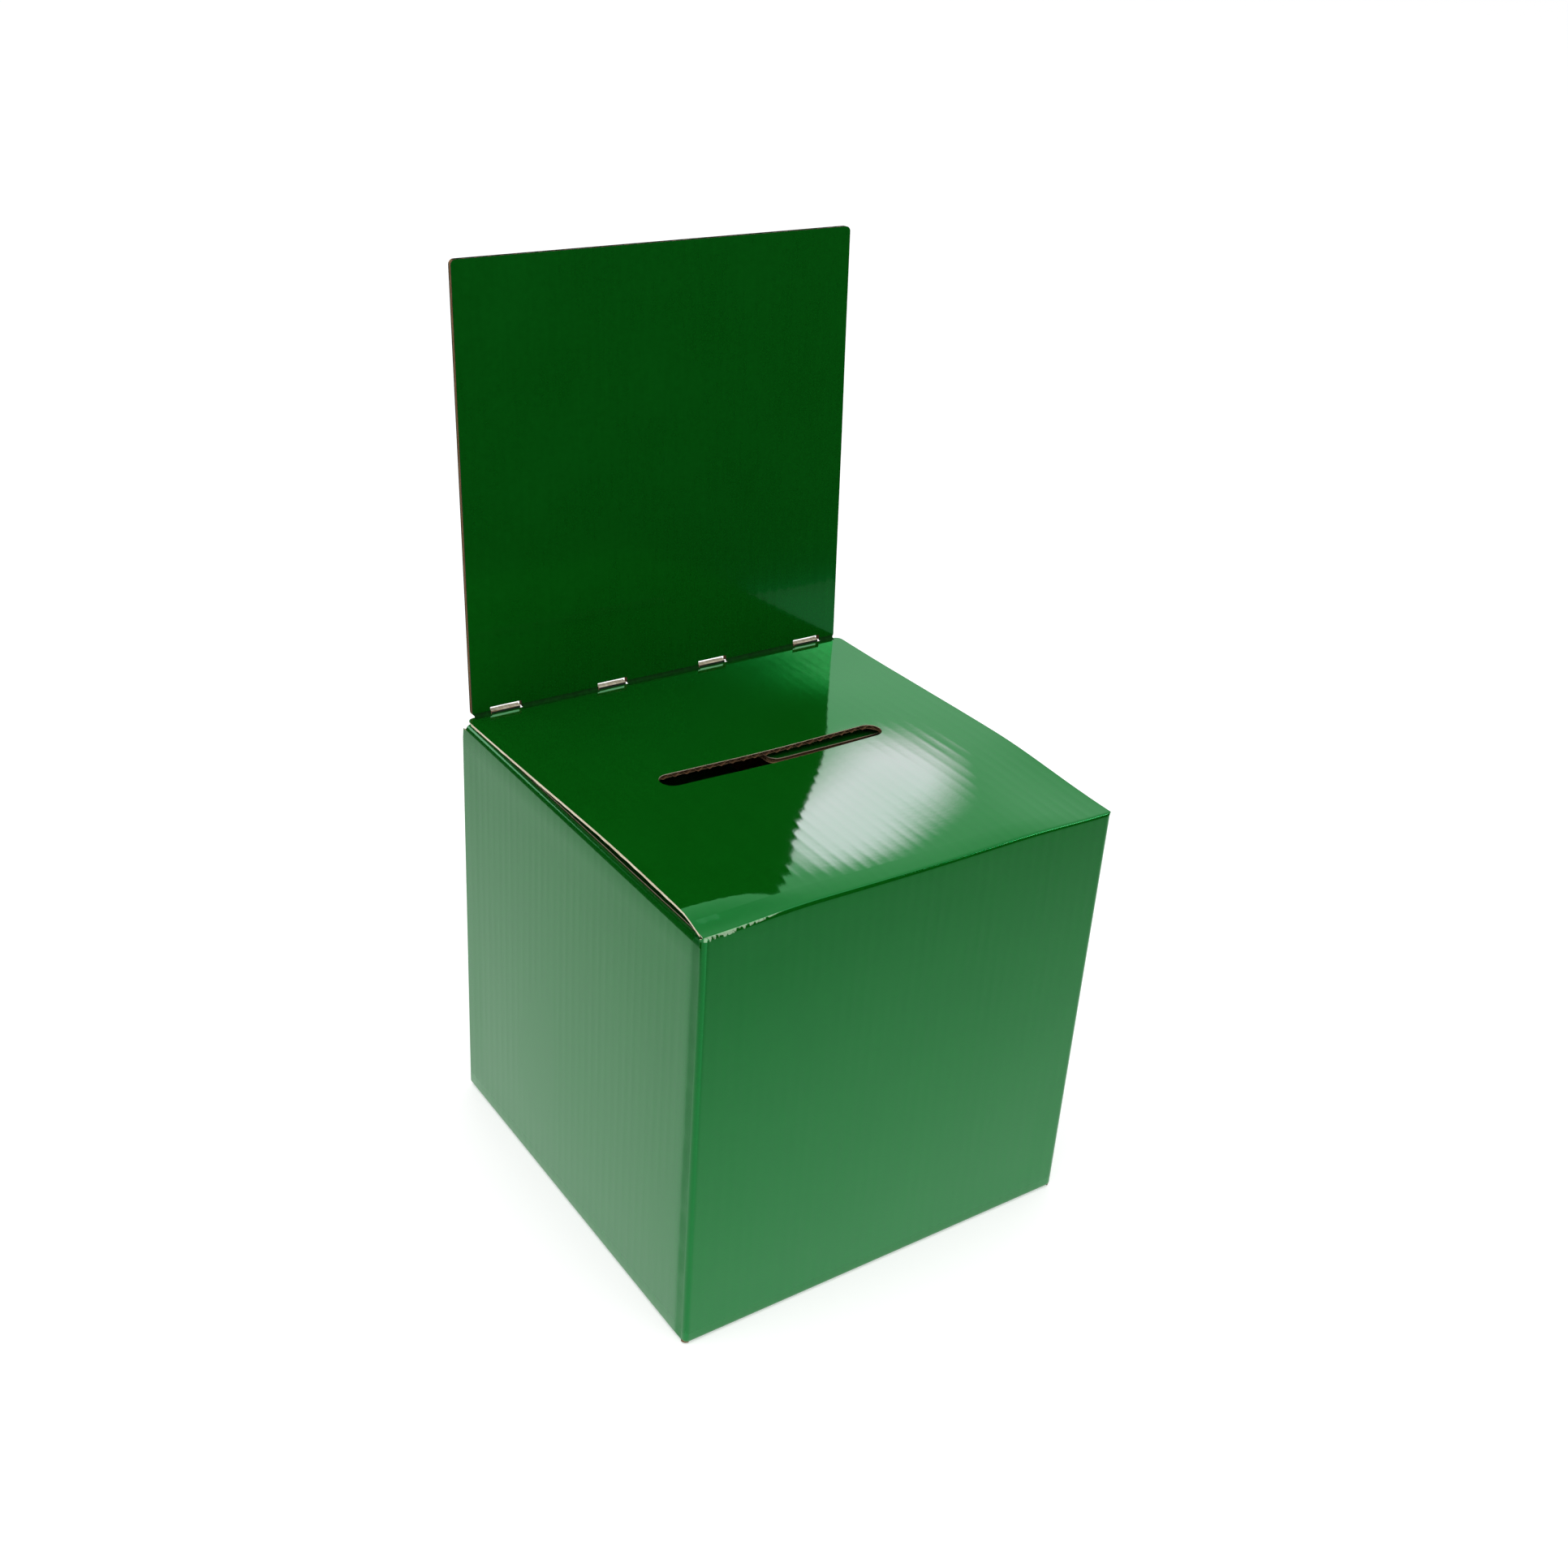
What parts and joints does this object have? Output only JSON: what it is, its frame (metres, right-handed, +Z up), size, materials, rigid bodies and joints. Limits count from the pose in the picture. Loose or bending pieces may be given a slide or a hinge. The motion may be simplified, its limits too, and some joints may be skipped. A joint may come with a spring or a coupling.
{
  "type": "ballot box",
  "caption": "Cube-shaped corrugated board ballot box with a hinged lid that has a round-ended slot, and a tall folding display header at the back.",
  "frame": {"origin": "middle of the base, on the surface that the box stands on", "axes": "+Z up, +Y from the front panel towards the header, +X to the right of someone who faces the front"},
  "size_m": [0.228, 0.2409, 0.4506],
  "materials": {
    "green_coated_paper": "gloss",
    "fluted_kraft_paper": "matte",
    "kraft_liner_paper": "matte"
  },
  "bodies": {
    "box": {"front_panel_outer_liner": "green_coated_paper", "front_panel_fluting": "fluted_kraft_paper", "front_panel_inner_liner": "kraft_liner_paper", "back_panel_outer_liner": "green_coated_paper", "back_panel_fluting": "fluted_kraft_paper", "back_panel_inner_liner": "kraft_liner_paper", "left_panel_outer_liner": "green_coated_paper", "left_panel_fluting": "fluted_kraft_paper", "left_panel_inner_liner": "kraft_liner_paper", "right_panel_outer_liner": "green_coated_paper", "right_panel_fluting": "fluted_kraft_paper", "right_panel_inner_liner": "kraft_liner_paper", "glue_flap_outer_liner": "green_coated_paper", "glue_flap_fluting": "fluted_kraft_paper", "glue_flap_inner_liner": "kraft_liner_paper", "front_base_flap_outer_liner": "green_coated_paper", "front_base_flap_fluting": "fluted_kraft_paper", "front_base_flap_inner_liner": "kraft_liner_paper", "back_base_flap_outer_liner": "green_coated_paper", "back_base_flap_fluting": "fluted_kraft_paper", "back_base_flap_inner_liner": "kraft_liner_paper", "left_base_flap_outer_liner": "green_coated_paper", "left_base_flap_fluting": "fluted_kraft_paper", "left_base_flap_inner_liner": "kraft_liner_paper", "right_base_flap_outer_liner": "green_coated_paper", "right_base_flap_fluting": "fluted_kraft_paper", "right_base_flap_inner_liner": "kraft_liner_paper"},
    "lid": {"lid_outer_liner": "green_coated_paper", "lid_fluting": "fluted_kraft_paper", "lid_inner_liner": "kraft_liner_paper"},
    "header": {"header_outer_liner": "green_coated_paper", "header_fluting": "fluted_kraft_paper", "header_inner_liner": "kraft_liner_paper"},
    "left_dust_flap": {"left_dust_flap_outer_liner": "green_coated_paper", "left_dust_flap_fluting": "fluted_kraft_paper", "left_dust_flap_inner_liner": "kraft_liner_paper"},
    "right_dust_flap": {"right_dust_flap_outer_liner": "green_coated_paper", "right_dust_flap_fluting": "fluted_kraft_paper", "right_dust_flap_inner_liner": "kraft_liner_paper"}
  },
  "joints": [
    {"name": "lid_hinge", "type": "hinge", "parent": "box", "child": "lid", "pos_m": [0, -0.1125, 0.2265], "axis": [1, 0, 0], "range_deg": [0, 110]},
    {"name": "header_hinge", "type": "hinge", "parent": "lid", "child": "header", "pos_m": [0, 0.1107, 0.228], "axis": [-1, 0, 0], "range_deg": [-90, 86.6]},
    {"name": "left_dust_flap_hinge", "type": "hinge", "parent": "box", "child": "left_dust_flap", "pos_m": [-0.111, 0, 0.2217], "axis": [0, 1, 0], "range_deg": [-8, 62]},
    {"name": "right_dust_flap_hinge", "type": "hinge", "parent": "box", "child": "right_dust_flap", "pos_m": [0.111, 0, 0.2217], "axis": [0, -1, 0], "range_deg": [0, 70]}
  ]
}
